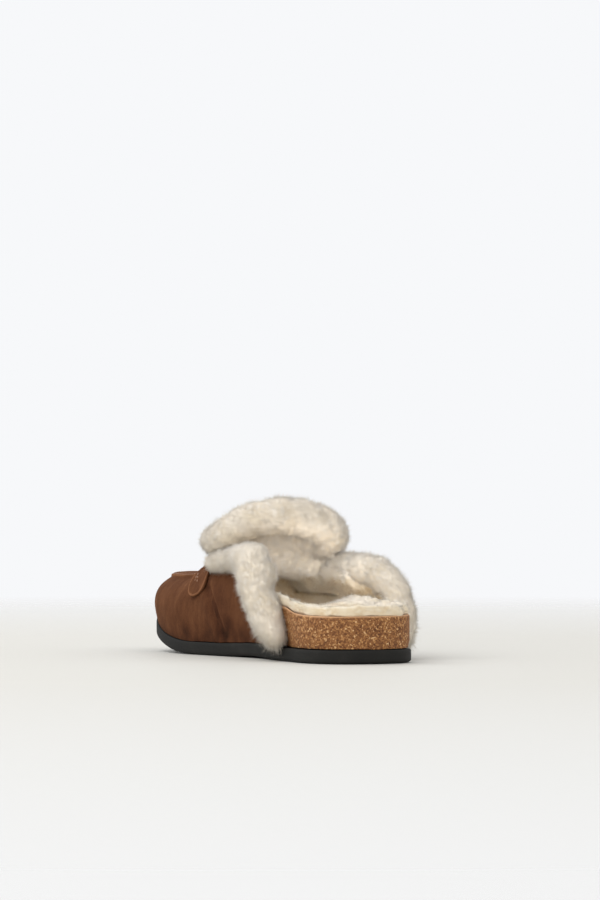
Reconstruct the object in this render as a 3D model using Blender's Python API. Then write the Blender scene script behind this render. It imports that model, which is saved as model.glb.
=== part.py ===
"""Right suede clog with shearling trims, cork footbed and black outsole.

Sizes are millimetres. Along runs from the heel end to the toe, side runs from the inner
(medial) edge to the outer (lateral) edge, and height runs up from the floor.
"""
import math
from collections import namedtuple

import bmesh
import bpy
import numpy as np
from mathutils import Vector

MM = 0.001
LENGTH = 258.0
GAP = 0.3
MEDIAL, LATERAL = -1, 1

HEEL_ROUND = 33.0
HEEL_POWER = 2.3
TOE_ROUND = 62.0
TOE_POWER = 2.35

OUTSOLE_THICK = 8.0
OUTSOLE_CHAMFER = 1.4
CORK_INSET = 0.6
CORK_ROUND = 0.9
REBATE_MEDIAL = 55.0
REBATE_LATERAL = 32.0
REBATE_RUN = 16.0
INSOLE_THICK = 5.8

WALL = 2.2
UPPER_INSET = 0.9
QUARTER_BASE = 64.0
LATERAL_REACH = 23.0
THROAT_BASE = 155.0
RIDGE_SHIFT = 4.0
APRON_STEP = 1.7
STEP_FADE = 0.75
GIRTH_PER_MM = 0.012
TURN_PER_MM = 0.012

STRAP_FRONT = 173.0
STRAP_REAR = 152.0
STRAP_THICK = 2.0
STRAP_REACH = 0.678
STRAP_ROUND_FROM = 0.565
STRAP_END_POWER = 2.6
STRAP_SWEEP = 2.0
STRAP_STEP_RUN = 0.08

TONGUE_THICK = 3.0
TONGUE_FRONT = 178.0
TONGUE_HALF = 0.40
TONGUE_ROUND_FROM = 120.0
TONGUE_LIFT = -WALL - GAP

Trim = namedtuple("Trim", "side front out bulge sweep seed")
MEDIAL_TRIM = Trim(MEDIAL, 143.5, 3.0, 0.0, 9.0, 0.3)
LATERAL_TRIM = Trim(LATERAL, 153.0, 5.5, 3.5, 0.0, 2.2)
LOCK_DEPTH = 0.10

Plan = namedtuple("Plan", "station axis half")
PLAN = [
    Plan(0.00, 0.6, 33.5),
    Plan(0.13, 0.6, 34.0),
    Plan(0.28, 2.0, 34.0),
    Plan(0.42, 4.5, 37.0),
    Plan(0.57, 3.5, 44.0),
    Plan(0.70, 1.0, 48.0),
    Plan(0.83, -2.0, 45.5),
    Plan(1.00, -7.5, 41.0),
]

Side = namedtuple("Side", "station ground rim_medial rim_lateral cup")
SIDE = [
    Side(0.00, 0.2, 27.4, 27.4, 0.95),
    Side(0.04, 0.0, 27.3, 27.9, 1.00),
    Side(0.15, 0.0, 28.4, 29.4, 1.00),
    Side(0.28, 0.0, 33.0, 31.0, 1.00),
    Side(0.40, 1.2, 34.5, 31.0, 0.90),
    Side(0.54, 0.0, 29.0, 26.5, 0.60),
    Side(0.66, 0.0, 22.9, 22.1, 0.47),
    Side(0.72, 0.7, 21.7, 21.2, 0.45),
    Side(0.78, 3.0, 21.6, 21.1, 0.45),
    Side(0.85, 7.0, 24.3, 23.8, 0.45),
    Side(0.92, 12.6, 29.8, 29.3, 0.40),
    Side(1.00, 19.2, 35.5, 35.5, 0.35),
]

Cup = namedtuple("Cup", "inset drop")
CUP = [Cup(4.0, 1.8), Cup(10.0, 5.2), Cup(18.0, 7.6), Cup(26.0, 8.4)]

Rib = namedtuple("Rib", "station top_along top_height fullness curl bulge seam_medial seam_lateral")
LAST = [
    Rib(0.248, 126.0, 87.0, 3.4, 0.25, 5.0, 0.66, 0.54),
    Rib(0.400, 141.0, 80.0, 3.2, 0.25, 4.5, 0.68, 0.59),
    Rib(0.530, 157.0, 72.5, 3.0, 0.25, 3.6, 0.73, 0.69),
    Rib(0.640, 175.0, 56.9, 3.6, 0.30, 2.8, 0.87, 0.85),
    Rib(0.760, 192.0, 49.7, 4.6, 0.50, 2.6, 0.92, 0.91),
    Rib(0.900, 211.0, 48.6, 5.2, 0.80, 2.8, 0.925, 0.925),
    Rib(1.000, 224.0, 48.6, 5.6, 1.00, 3.0, 0.93, 0.93),
]

Pile = namedtuple("Pile", "share radius")
TRIM_PILE = [Pile(0.00, 6.0), Pile(0.12, 9.5), Pile(0.45, 10.0), Pile(0.70, 8.5), Pile(1.00, 6.0)]

Roll = namedtuple("Roll", "share along across height radius")
ROLL = [
    Roll(0.00, 166.0, -31.0, 69.0, 8.5),
    Roll(0.12, 154.0, -32.0, 71.0, 10.0),
    Roll(0.24, 141.0, -30.0, 74.5, 11.0),
    Roll(0.37, 130.0, -20.0, 81.5, 11.5),
    Roll(0.50, 124.5, -1.0, 85.0, 12.0),
    Roll(0.63, 127.5, 21.0, 81.0, 12.0),
    Roll(0.76, 136.0, 35.0, 73.0, 12.0),
    Roll(0.88, 150.0, 36.0, 68.5, 11.0),
    Roll(1.00, 164.0, 34.0, 67.0, 9.0),
]

OUTLINE_POINTS = 34


def track(rows, column, place):
    """Value of a column between its rows, without overshoot."""
    xs = np.array([row[0] for row in rows])
    ys = np.array([getattr(row, column) for row in rows])
    step = np.diff(xs)
    slope = np.diff(ys) / step
    tangent = np.zeros(len(xs))
    tangent[0], tangent[-1] = slope[0], slope[-1]
    for i in range(1, len(xs) - 1):
        if slope[i - 1] * slope[i] > 0:
            before, after = 2 * step[i] + step[i - 1], step[i] + 2 * step[i - 1]
            tangent[i] = (before + after) / (before / slope[i - 1] + after / slope[i])
    i = int(np.clip(np.searchsorted(xs, place) - 1, 0, len(step) - 1))
    u = (place - xs[i]) / step[i]
    if u < 0:
        return float(ys[0] + tangent[0] * (place - xs[0]))
    if u > 1:
        return float(ys[-1] + tangent[-1] * (place - xs[-1]))
    rise = u * u * (3 - 2 * u)
    start = u * (1 - u) ** 2 * step[i] * tangent[i]
    end = u * u * (u - 1) * step[i] * tangent[i + 1]
    return float(ys[i] + (ys[i + 1] - ys[i]) * rise + start + end)


def smooth(low, high, value):
    share = min(max((value - low) / (high - low), 0.0), 1.0)
    return share * share * (3 - 2 * share)


def unit(vector):
    return vector / np.linalg.norm(vector)


def end_round(along):
    """Share of the full width left by the round heel and the round toe."""
    if along < HEEL_ROUND:
        back = (HEEL_ROUND - along) / HEEL_ROUND
        return max(1 - back ** HEEL_POWER, 0.0) ** (1 / HEEL_POWER)
    if along > LENGTH - TOE_ROUND:
        front = (along - LENGTH + TOE_ROUND) / TOE_ROUND
        return max(1 - front ** TOE_POWER, 0.0) ** (1 / TOE_POWER)
    return 1.0


def edge(along, side, inset):
    """Plan point on the outline, moved in by an inset."""
    station = along / LENGTH
    width = max(track(PLAN, "half", station) - inset, 0.0) * end_round(along)
    moved = along + inset * (1 - 2 * station)
    return moved, track(PLAN, "axis", station) + side * width


def ground(along):
    return track(SIDE, "ground", along / LENGTH)


def rim(along, side):
    column = "rim_medial" if side == MEDIAL else "rim_lateral"
    return track(SIDE, column, along / LENGTH)


def ring(inset, height):
    """Closed loop round the outline: medial side heel to toe, then lateral side back."""
    points = []
    turns = np.linspace(0, math.pi, OUTLINE_POINTS)
    spots = [LENGTH * (1 - math.cos(turn)) / 2 for turn in turns]
    for side, order in ((MEDIAL, spots), (LATERAL, spots[-2:0:-1])):
        for along in order:
            moved, across = edge(along, side, inset(along, side))
            points.append((moved, across, height(along, side)))
    return points


def fixed(value):
    return lambda along, side: value


def stack(name, rings):
    """Solid from matched rings, closed with strips across the first and the last."""
    mesh = bmesh.new()
    loops = [[mesh.verts.new(point) for point in loop] for loop in rings]
    count = len(loops[0])
    for low, high in zip(loops, loops[1:]):
        for i in range(count):
            j = (i + 1) % count
            mesh.faces.new((low[i], low[j], high[j], high[i]))
    for loop in (loops[0], loops[-1]):
        for i in range(count // 2):
            corners = [loop[i], loop[i + 1], loop[-1 - i], loop[-i] if i else loop[0]]
            mesh.faces.new(list(dict.fromkeys(corners)))
    return finish(name, mesh)


def finish(name, mesh):
    """Turn shoe places into world metres, weld, face outward and make the object."""
    unused = [vert for vert in mesh.verts if not vert.link_faces]
    bmesh.ops.delete(mesh, geom=unused, context="VERTS")
    bmesh.ops.remove_doubles(mesh, verts=mesh.verts, dist=0.01)
    for vert in mesh.verts:
        along, across, height = vert.co
        vert.co = Vector(((LENGTH / 2 - along) * MM, across * MM, height * MM))
    mesh.normal_update()
    bmesh.ops.recalc_face_normals(mesh, faces=mesh.faces)
    if mesh.calc_volume(signed=True) < 0:
        bmesh.ops.reverse_faces(mesh, faces=mesh.faces)
    data = bpy.data.meshes.new(name)
    mesh.to_mesh(data)
    mesh.free()
    made = bpy.data.objects.new(name, data)
    bpy.context.scene.collection.objects.link(made)
    return made


def outsole():
    """Even sheet with heel seat, waist, ball and toe spring, its edges broken."""
    def lifted(rise):
        return lambda along, side: ground(along) + rise

    rings = [
        ring(fixed(OUTSOLE_CHAMFER), lifted(0.0)),
        ring(fixed(0.0), lifted(OUTSOLE_CHAMFER)),
        ring(fixed(0.0), lifted(OUTSOLE_THICK - OUTSOLE_CHAMFER / 2)),
        ring(fixed(OUTSOLE_CHAMFER / 2), lifted(OUTSOLE_THICK)),
    ]
    return stack("outsole", rings)


def cork_inset(extra):
    """Inset of the footbed edge: proud at the heel, inside the upper further forward."""
    inside = UPPER_INSET + WALL + GAP + CORK_INSET / 2

    def inset(along, side):
        end = REBATE_MEDIAL if side == MEDIAL else REBATE_LATERAL
        return CORK_INSET + (inside - CORK_INSET) * smooth(end - REBATE_RUN, end, along) + extra

    return inset


def bed(lift):
    """Rings of the cupped foot surface, from its rim towards its middle."""
    rings = []
    for row in CUP:
        def height(along, side, row=row):
            return rim(along, side) - row.drop * track(SIDE, "cup", along / LENGTH) + lift

        rings.append(ring(cork_inset(row.inset), height))
    return rings


def footbed(grow=0.0):
    """Pressed cork with a raised rim round the cup."""
    def low(along, side):
        return ground(along) + OUTSOLE_THICK + GAP - grow

    def shoulder(along, side):
        return rim(along, side) - CORK_ROUND + grow

    def top(along, side):
        return rim(along, side) + grow

    rings = [
        ring(cork_inset(-grow), low),
        ring(cork_inset(-grow), shoulder),
        ring(cork_inset(CORK_ROUND - grow), top),
    ]
    return stack("footbed", rings + bed(grow))


def insole(grow=0.0):
    """Fleece sock laid in the cup, its soft edge standing over the rim."""
    def side_height(share):
        return lambda along, side: rim(along, side) + GAP + INSOLE_THICK * share + grow

    def under(along, side):
        return rim(along, side) + GAP - grow

    edge_in = CORK_ROUND - grow
    rings = bed(GAP - grow)[::-1]
    rings += [
        ring(cork_inset(edge_in + 0.2), under),
        ring(cork_inset(edge_in), side_height(0.25)),
        ring(cork_inset(edge_in + 0.2), side_height(0.6)),
        ring(cork_inset(edge_in + 1.8), side_height(0.95)),
    ]
    return stack("insole", rings + bed(GAP + INSOLE_THICK + grow))


def base_of(turn):
    """Place along the outline of a rib: turn 0 is the toe, turn 1 the quarter's rear edge."""
    return LENGTH - (LENGTH - QUARTER_BASE) * (1 - math.cos(turn * math.pi / 2))


def turn_at(along):
    return 2 / math.pi * math.acos(1 - (LENGTH - along) / (LENGTH - QUARTER_BASE))


def rib_shares(girth, power):
    """Height share and width share of a rib: girth 0 is the ridge, 1 the base."""
    corner = 0.5 ** (1 / power)
    if girth > 0.5:
        height = corner * (1 - girth) / 0.5
        return height, (1 - height ** power) ** (1 / power)
    width = corner * girth / 0.5
    return (1 - width ** power) ** (1 / power), width


def girth_at(height, power):
    corner = 0.5 ** (1 / power)
    if height <= corner:
        return 1 - 0.5 * height / corner
    return 0.5 * (1 - height ** power) ** (1 / power) / corner


def rib_value(turn, column):
    return track(LAST, column, base_of(turn) / LENGTH)


def last_point(turn, girth):
    """Point on the outside of the last: girth below 0 is the medial side."""
    if turn < 0:
        turn, girth = -turn, -girth
    side = MEDIAL if girth < 0 else LATERAL
    along = base_of(turn)
    height, width = rib_shares(min(abs(girth), 1.0), rib_value(turn, "fullness"))
    curl = rib_value(turn, "curl")
    foot = along - LATERAL_REACH * smooth(THROAT_BASE, QUARTER_BASE, along) * (side == LATERAL)
    foot_along, foot_across = edge(foot, side, UPPER_INSET)
    foot_height = ground(foot) + OUTSOLE_THICK + GAP
    top_along = rib_value(turn, "top_along")
    top_across = track(PLAN, "axis", along / LENGTH) - RIDGE_SHIFT * smooth(1.0, 0.7, along / LENGTH)
    top_height = rib_value(turn, "top_height")
    lean = (1 - curl) * height + curl * (1 - width)
    point = np.array([
        foot_along + (top_along - foot_along) * lean,
        top_across + (foot_across - top_across) * width,
        foot_height + (top_height - foot_height) * height,
    ])
    outward = np.array([smooth(0.75, 1.0, along / LENGTH) * (foot_along - top_along),
                        foot_across - top_across, 0.0])
    bulge = rib_value(turn, "bulge") * math.sin(math.pi * min(height / 0.85, 1.0))
    return point + unit(outward) * bulge


def last_normal(turn, girth):
    step_turn, step_girth = 0.004, 0.01
    if turn == 0 and girth == 0:
        turn = 0.05
    along = last_point(turn + step_turn, girth) - last_point(turn - step_turn, girth)
    low = max(girth - step_girth, -1.0)
    high = min(girth + step_girth, 1.0)
    across = last_point(turn, high) - last_point(turn, low)
    normal = unit(np.cross(along, across))
    middle = np.array([base_of(abs(turn)) - 30.0 * smooth(0.8, 1.0, base_of(abs(turn)) / LENGTH), 0.0, 20.0])
    if np.dot(normal, last_point(turn, girth) - middle) < 0:
        return -normal
    return normal


def skin(turn, girth, lift):
    return last_point(turn, girth) + last_normal(turn, girth) * lift


def seam_girth(turn, side):
    column = "seam_medial" if side == MEDIAL else "seam_lateral"
    return girth_at(rib_value(turn, column), rib_value(turn, "fullness"))


def apron_step(turn):
    """Height of the toe seam's step, which fades out at the throat."""
    throat = turn_at(THROAT_BASE)
    return APRON_STEP * smooth(throat, throat * STEP_FADE, turn)


def upper(grow=0.0):
    """Hollow vamp and quarters; the toe seam is a step that fades at the throat."""
    wall_rows, apron_rows = 7, 6
    throat = turn_at(THROAT_BASE)
    vamp_turns = list(np.linspace(0, throat, 21))
    quarter_turns = list(np.linspace(throat, 1.0 + grow * TURN_PER_MM, 9))[1:]
    turns = vamp_turns + quarter_turns
    across_count = 2 * (wall_rows + apron_rows) + 1
    mesh = bmesh.new()
    outer, inner = [], []
    for turn in turns:
        girths = []
        for side in (MEDIAL, LATERAL):
            seam = seam_girth(turn, side) - grow * GIRTH_PER_MM
            half = list(np.linspace(1.0, seam, wall_rows + 1))
            half += list(np.linspace(seam - GIRTH_PER_MM, 0.0, apron_rows))
            girths.append([side * value for value in half])
        row = girths[0] + girths[1][-2::-1]
        step = apron_step(turn)
        outside, inside = [], []
        for k, girth in enumerate(row):
            past_seam = min(k, across_count - 1 - k) - wall_rows
            outside.append(mesh.verts.new(skin(turn, girth, step * (past_seam > 0) + grow)))
            inside.append(mesh.verts.new(skin(turn, girth, step * (past_seam > 1) - WALL - grow)))
        outer.append(outside)
        inner.append(inside)
    last_vamp = len(vamp_turns) - 1
    walls = list(range(wall_rows)) + list(range(across_count - 1 - wall_rows, across_count - 1))
    for i in range(len(turns) - 1):
        cells = range(across_count - 1) if i < last_vamp else walls
        for k in cells:
            mesh.faces.new((outer[i][k], outer[i + 1][k], outer[i + 1][k + 1], outer[i][k + 1]))
            mesh.faces.new((inner[i][k], inner[i][k + 1], inner[i + 1][k + 1], inner[i + 1][k]))
        for k in (0, across_count - 1):
            mesh.faces.new((outer[i][k], inner[i][k], inner[i + 1][k], outer[i + 1][k]))
        if i >= last_vamp:
            for k in (wall_rows, across_count - 1 - wall_rows):
                mesh.faces.new((outer[i][k], inner[i][k], inner[i + 1][k], outer[i + 1][k]))
    for k in range(wall_rows, across_count - 1 - wall_rows):
        i = last_vamp
        mesh.faces.new((outer[i][k], inner[i][k], inner[i][k + 1], outer[i][k + 1]))
    for k in walls:
        mesh.faces.new((outer[-1][k], inner[-1][k], inner[-1][k + 1], outer[-1][k + 1]))
    return finish("upper", mesh)


def plate(name, rows, low, high):
    """Curved sheet between two lifts off the last, from rows of turn and girth."""
    mesh = bmesh.new()
    outer = [[mesh.verts.new(skin(turn, girth, high(turn, girth))) for turn, girth in row] for row in rows]
    inner = [[mesh.verts.new(skin(turn, girth, low(turn, girth))) for turn, girth in row] for row in rows]
    down, across = len(rows), len(rows[0])
    for i in range(down - 1):
        for k in range(across - 1):
            mesh.faces.new((outer[i][k], outer[i + 1][k], outer[i + 1][k + 1], outer[i][k + 1]))
            mesh.faces.new((inner[i][k], inner[i][k + 1], inner[i + 1][k + 1], inner[i + 1][k]))
        for k in (0, across - 1):
            mesh.faces.new((outer[i][k], inner[i][k], inner[i + 1][k], outer[i + 1][k]))
    for k in range(across - 1):
        for i in (0, down - 1):
            mesh.faces.new((outer[i][k], inner[i][k], inner[i][k + 1], outer[i][k + 1]))
    return finish(name, mesh)


def saddle_strap(grow=0.0):
    """Band over the instep with a round end low on each side."""
    front, rear = turn_at(STRAP_FRONT), turn_at(STRAP_REAR)
    middle, half = (front + rear) / 2, (rear - front) / 2 + grow * TURN_PER_MM
    reach = STRAP_REACH + grow * GIRTH_PER_MM
    rows = []
    for lean in np.linspace(-math.pi / 2, math.pi / 2, 31):
        girth = math.sin(lean) * reach
        out = max(abs(girth) - STRAP_ROUND_FROM, 0.0) / (reach - STRAP_ROUND_FROM)
        narrow = max(1 - out ** STRAP_END_POWER, 0.02) ** (1 / STRAP_END_POWER)
        swept = middle + STRAP_SWEEP * TURN_PER_MM * (girth / reach) ** 2
        rows.append([(swept + half * narrow * place, girth) for place in np.linspace(-1, 1, 6)])

    def low(turn, girth):
        seam = seam_girth(turn, MEDIAL if girth < 0 else LATERAL)
        on_apron = smooth(seam + 2 * STRAP_STEP_RUN, seam + STRAP_STEP_RUN, abs(girth))
        return GAP + apron_step(turn) * on_apron - grow

    def high(turn, girth):
        return low(turn, girth) + STRAP_THICK + 2 * grow

    return plate("saddle_strap", rows, low, high)


def tongue_half(turn):
    """Girth of the tongue's side edge, rounded off at its top."""
    begin = turn_at(TONGUE_ROUND_FROM)
    over = min(max((turn - begin) / (1.0 - begin), 0.0), 1.0)
    return TONGUE_HALF * math.sqrt(max(1 - over ** 3, 0.02))


def tongue(grow=0.0):
    rows = []
    for turn in np.linspace(turn_at(TONGUE_FRONT), 1.0, 15):
        half = tongue_half(turn) + grow * GIRTH_PER_MM
        rows.append([(turn + grow * TURN_PER_MM, half * place) for place in np.linspace(-1, 1, 9)])

    def low(turn, girth):
        return TONGUE_LIFT - TONGUE_THICK - grow

    def high(turn, girth):
        return TONGUE_LIFT + grow

    return plate("tongue", rows, low, high)


def even(path, count):
    """Even places along a path of points with the values that ride on it."""
    path = np.array(path)
    length = np.concatenate(([0.0], np.cumsum(np.linalg.norm(np.diff(path[:, :3], axis=0), axis=1))))
    places = np.linspace(0, length[-1], count)
    return np.array([np.interp(places, length, column) for column in path.T]).T


def soften(path, rounds):
    for _ in range(rounds):
        path[1:-1] = 0.25 * path[:-2] + 0.5 * path[1:-1] + 0.25 * path[2:]
    return path


def locks(i, angle, seed):
    """Uneven swelling of the pile round and along a roll."""
    wave = 0.55 * math.sin(3 * angle + 1.9 * i + seed) + 0.45 * math.sin(4 * angle - 2.3 * i + 2 * seed)
    return 1 + LOCK_DEPTH * wave


def fur_roll(name, path, radii, seed):
    """Lumpy roll of pile along a path of point and outward direction, closed at both ends."""
    count, around = len(path), 14
    mesh = bmesh.new()
    loops = []
    for i in range(count):
        point, outward = path[i, :3], path[i, 3:]
        before, after = path[max(i - 1, 0), :3], path[min(i + 1, count - 1), :3]
        tangent = unit(after - before)
        outward = unit(outward - tangent * np.dot(outward, tangent))
        beside = np.cross(tangent, outward)
        loop = []
        for k in range(around):
            angle = 2 * math.pi * k / around
            reach = radii[i] * locks(i, angle, seed)
            spot = point + outward * math.cos(angle) * reach + beside * math.sin(angle) * reach
            loop.append(mesh.verts.new(spot))
        loops.append((loop, point, tangent, radii[i]))
    for (low, *_), (high, *_) in zip(loops, loops[1:]):
        for k in range(around):
            j = (k + 1) % around
            mesh.faces.new((low[k], low[j], high[j], high[k]))
    for (loop, point, tangent, radius), way in ((loops[0], -1), (loops[-1], 1)):
        inner = []
        for vert in loop:
            spot = np.array(vert.co) * 0.6 + point * 0.4 + tangent * way * radius * 0.45
            inner.append(mesh.verts.new(spot))
        tip = mesh.verts.new(point + tangent * way * radius * 0.6)
        for k in range(around):
            j = (k + 1) % around
            mesh.faces.new((loop[k], loop[j], inner[j], inner[k]))
            mesh.faces.new((inner[k], inner[j], tip))
    return finish(name, mesh)


def carve(body, cutters):
    """Cut helper solids out of a body, leaving the gap they were grown by."""
    for cutter in cutters:
        cut = body.modifiers.new("gap", "BOOLEAN")
        cut.operation = "DIFFERENCE"
        cut.solver = "MANIFOLD"
        cut.object = cutter
        bpy.context.view_layer.objects.active = body
        bpy.ops.object.modifier_apply(modifier=cut.name)
    for cutter in cutters:
        bpy.data.objects.remove(cutter)
    mesh = bmesh.new()
    mesh.from_mesh(body.data)
    drop_slivers(mesh)
    bmesh.ops.remove_doubles(mesh, verts=mesh.verts, dist=0.02 * MM)
    mesh.to_mesh(body.data)
    mesh.free()
    return body


def drop_slivers(mesh):
    """Keep the one large island of a cut body."""
    left = set(mesh.verts)
    islands = []
    while left:
        front = [left.pop()]
        island = []
        while front:
            vert = front.pop()
            island.append(vert)
            near = {link.other_vert(vert) for link in vert.link_edges} & left
            left -= near
            front += near
        islands.append(island)
    islands.sort(key=len)
    for island in islands[:-1]:
        bmesh.ops.delete(mesh, geom=island, context="VERTS")


def fur_trim(name, trim):
    """Shearling binding up a quarter's rear edge and along its topline."""
    count = 34
    path = []
    top = seam_girth(1.0, trim.side)
    for share in np.linspace(0, 1, 16):
        girth = trim.side * (0.97 + (top - 0.97) * share)
        out = trim.out + trim.bulge * math.sin(math.pi * share)
        place = skin(1.0, girth, out) - np.array([trim.sweep * (1 - share) ** 1.5, 0.0, 0.0])
        path.append(np.concatenate((place, last_normal(1.0, girth))))
    for turn in np.linspace(1.0, turn_at(trim.front), 22)[1:]:
        girth = trim.side * seam_girth(turn, trim.side)
        path.append(np.concatenate((skin(turn, girth, trim.out), last_normal(turn, girth))))
    path = soften(even(path, count), 16)
    radii = [track(TRIM_PILE, "radius", i / (count - 1)) for i in range(count)]
    body = fur_roll(name, path, radii, trim.seed)
    return carve(body, [upper(GAP), footbed(GAP), insole(GAP), saddle_strap(GAP), roll(2 * GAP)])


def roll(grow=0.0):
    """Thick shearling roll over the sides and top of the tongue, before its slots are cut."""
    count = 44
    path, radii = [], []
    for share in np.linspace(0, 1, count):
        point = np.array([track(ROLL, column, share) for column in ("along", "across", "height")])
        path.append(np.concatenate((point, np.array([0.0, 0.0, 1.0]))))
        radii.append(track(ROLL, "radius", share) + grow)
    return fur_roll("tongue_fur", soften(np.array(path), 5), radii, 0.7)


def tongue_fur():
    """The roll with slots for the tongue, the vamp and the strap."""
    return carve(roll(), [tongue(GAP), upper(GAP), saddle_strap(GAP)])


def linear(code):
    """Linear colour from an sRGB hex code."""
    parts = [int(code[i:i + 2], 16) / 255 for i in (1, 3, 5)]
    return [c / 12.92 if c <= 0.04045 else ((c + 0.055) / 1.055) ** 2.4 for c in parts] + [1.0]


def material(name, code, roughness):
    made = bpy.data.materials.new(name)
    made.use_nodes = True
    shader = made.node_tree.nodes["Principled BSDF"]
    shader.inputs["Base Color"].default_value = linear(code)
    shader.inputs["Roughness"].default_value = roughness
    shader.inputs["Metallic"].default_value = 0.0
    return made


def main():
    for old in list(bpy.data.objects):
        bpy.data.objects.remove(old)
    suede = material("suede", "#62412e", 0.9)
    shearling = material("shearling", "#e4d9c8", 0.95)
    cork = material("cork", "#8e6242", 0.8)
    rubber = material("outsole_rubber", "#2e2d29", 0.6)
    pieces = [
        (outsole(), rubber),
        (footbed(), cork),
        (insole(), shearling),
        (upper(), suede),
        (saddle_strap(), suede),
        (tongue(), suede),
        (fur_trim("fur_trim_medial", MEDIAL_TRIM), shearling),
        (fur_trim("fur_trim_lateral", LATERAL_TRIM), shearling),
        (tongue_fur(), shearling),
    ]
    corners = np.array([vert.co for piece, _ in pieces for vert in piece.data.vertices])
    low, high = corners.min(axis=0), corners.max(axis=0)
    middle = Vector(((low[0] + high[0]) / 2, (low[1] + high[1]) / 2, low[2]))
    for piece, look in pieces:
        piece.data.materials.append(look)
        for vert in piece.data.vertices:
            vert.co -= middle


main()
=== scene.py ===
"""Looks of the suede clog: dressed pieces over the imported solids, materials, floor, light and camera.

Lengths are metres. The toe points to -X, the heel to +X and the inner side of the foot to -Y.
"""
import math
from collections import namedtuple

import bmesh
import bpy
import numpy as np
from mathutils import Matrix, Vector, noise
from mathutils.bvhtree import BVHTree
from mathutils.kdtree import KDTree


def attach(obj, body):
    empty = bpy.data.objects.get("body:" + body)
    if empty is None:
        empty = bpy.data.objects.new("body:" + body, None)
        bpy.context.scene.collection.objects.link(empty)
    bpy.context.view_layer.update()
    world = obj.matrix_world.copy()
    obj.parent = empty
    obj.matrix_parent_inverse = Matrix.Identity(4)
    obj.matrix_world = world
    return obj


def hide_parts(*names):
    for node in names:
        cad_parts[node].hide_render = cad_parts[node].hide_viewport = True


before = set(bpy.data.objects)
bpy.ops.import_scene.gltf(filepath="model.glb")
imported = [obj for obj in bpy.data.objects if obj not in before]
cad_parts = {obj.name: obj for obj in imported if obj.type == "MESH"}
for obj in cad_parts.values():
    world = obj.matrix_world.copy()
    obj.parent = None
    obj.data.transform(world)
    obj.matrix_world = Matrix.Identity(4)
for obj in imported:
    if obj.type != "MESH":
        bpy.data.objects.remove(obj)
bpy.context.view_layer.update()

MM = 0.001
MERGE = 0.01 * MM
TINY = 1e-12
QUAD_ANGLE = math.radians(60)
SMOOTH_ANGLE = math.radians(40)
HARD_NODES = ("outsole", "footbed", "insole", "upper", "saddle_strap", "tongue")
FUR_NODES = ("fur_trim_medial", "fur_trim_lateral", "tongue_fur")
NOISE_SEED = 4
noise.seed_set(NOISE_SEED)


# Small helpers

def linear(code):
    """Linear colour from an sRGB hex code."""
    parts = [int(code[i:i + 2], 16) / 255 for i in (1, 3, 5)]
    return [c / 12.92 if c <= 0.04045 else ((c + 0.055) / 1.055) ** 2.4 for c in parts] + [1.0]


def only(piece):
    """Select one piece and nothing else."""
    bpy.ops.object.select_all(action="DESELECT")
    piece.select_set(True)
    bpy.context.view_layer.objects.active = piece


def apply(piece, kind, **settings):
    """Add a modifier with its settings and apply it."""
    only(piece)
    added = piece.modifiers.new(kind.lower(), kind)
    for name, value in settings.items():
        setattr(added, name, value)
    bpy.ops.object.modifier_apply(modifier=added.name)


def in_scene(name, mesh):
    """New object of a mesh, linked to the scene."""
    made = bpy.data.objects.new(name, mesh)
    bpy.context.scene.collection.objects.link(made)
    return made


def copy_of(node, name):
    """Own copy of a CAD solid, its loose triangles merged and joined into quads."""
    piece = in_scene(name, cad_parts[node].data.copy())
    piece.data.materials.clear()
    only(piece)
    bpy.ops.object.mode_set(mode="EDIT")
    bpy.ops.mesh.select_all(action="SELECT")
    bpy.ops.mesh.customdata_custom_splitnormals_clear()
    bpy.ops.mesh.remove_doubles(threshold=MERGE)
    bpy.ops.mesh.tris_convert_to_quads(face_threshold=QUAD_ANGLE, shape_threshold=QUAD_ANGLE)
    bpy.ops.object.mode_set(mode="OBJECT")
    return piece


Rounding = namedtuple("Rounding", "levels sharp crease")


def refine(piece, rounding):
    """Keep the edges that turn sharper than an angle in degrees, and round the rest by subdivision."""
    only(piece)
    bpy.ops.object.mode_set(mode="EDIT")
    bpy.ops.mesh.select_mode(type="EDGE")
    bpy.ops.mesh.select_all(action="DESELECT")
    bpy.ops.mesh.edges_select_sharp(sharpness=math.radians(rounding.sharp))
    bpy.ops.transform.edge_crease(value=rounding.crease)
    bpy.ops.object.mode_set(mode="OBJECT")
    apply(piece, "SUBSURF", levels=rounding.levels, render_levels=rounding.levels)
    only(piece)
    bpy.ops.object.shade_smooth_by_angle(angle=SMOOTH_ANGLE)


def points_of(mesh):
    places = np.empty(len(mesh.vertices) * 3)
    mesh.vertices.foreach_get("co", places)
    return places.reshape(-1, 3)


def normals_of(mesh):
    normals = np.empty(len(mesh.vertices) * 3)
    mesh.vertices.foreach_get("normal", normals)
    return normals.reshape(-1, 3)


def place(mesh, places):
    mesh.vertices.foreach_set("co", np.ascontiguousarray(places, float).reshape(-1))
    mesh.update()


def paint(mesh, name, values):
    """Write one value a point for a material to read."""
    made = mesh.attributes.new(name, "FLOAT", "POINT")
    made.data.foreach_set("value", values)


def swell(piece, amount, size, seed):
    """Push the surface in and out by soft noise of one lump size."""
    places, normals = points_of(piece.data), normals_of(piece.data)
    shift = Vector((seed, 2 * seed, 3 * seed))
    lumps = np.array([noise.noise(Vector(spot) / size + shift) for spot in places])
    place(piece.data, places + normals * (lumps * amount)[:, None])


def unit(vectors):
    return vectors / np.maximum(np.linalg.norm(vectors, axis=-1, keepdims=True), TINY)


def dots(first, second):
    """How much of each first vector points along the second."""
    return np.einsum("ij,ij->i", first, second)


def surface_tree(piece):
    """Search tree of a piece's faces."""
    mesh = piece.data
    return BVHTree.FromPolygons([v.co for v in mesh.vertices], [f.vertices[:] for f in mesh.polygons])


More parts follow.
